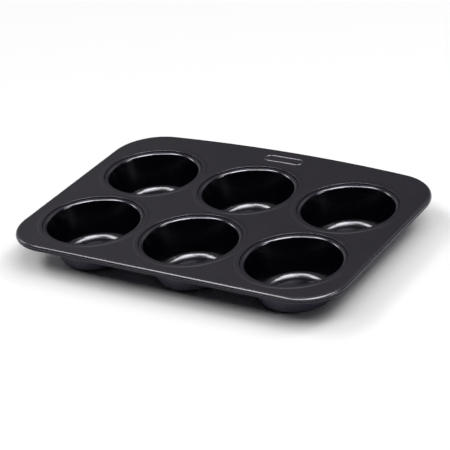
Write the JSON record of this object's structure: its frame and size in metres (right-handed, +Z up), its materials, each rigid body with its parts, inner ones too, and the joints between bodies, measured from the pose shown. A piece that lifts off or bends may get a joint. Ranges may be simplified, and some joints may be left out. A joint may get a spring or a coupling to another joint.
{
  "type": "muffin pan",
  "caption": "Rectangular muffin pan in black non-stick steel: round tapered cups seated in sunk holes of a flat frame sheet with a wire-rolled rim and a wider, bowed back edge.",
  "frame": {"origin": "on the resting plane, under the middle of the pan", "axes": "+X to the right along the pan's length, +Y from the straight front edge to the bowed back edge, +Z up"},
  "size_m": [0.2708, 0.2024, 0.0302],
  "materials": {
    "frame_coating": "black non-stick coating, satin",
    "cup_coating": "black non-stick coating, satin",
    "wire_steel": "drawn steel wire"
  },
  "bodies": {
    "root": {"frame_sheet": "frame_coating", "rim_wire": "wire_steel", "cup_front_left": "cup_coating", "cup_front_middle": "cup_coating", "cup_front_right": "cup_coating", "cup_back_left": "cup_coating", "cup_back_middle": "cup_coating", "cup_back_right": "cup_coating"}
  },
  "joints": []
}
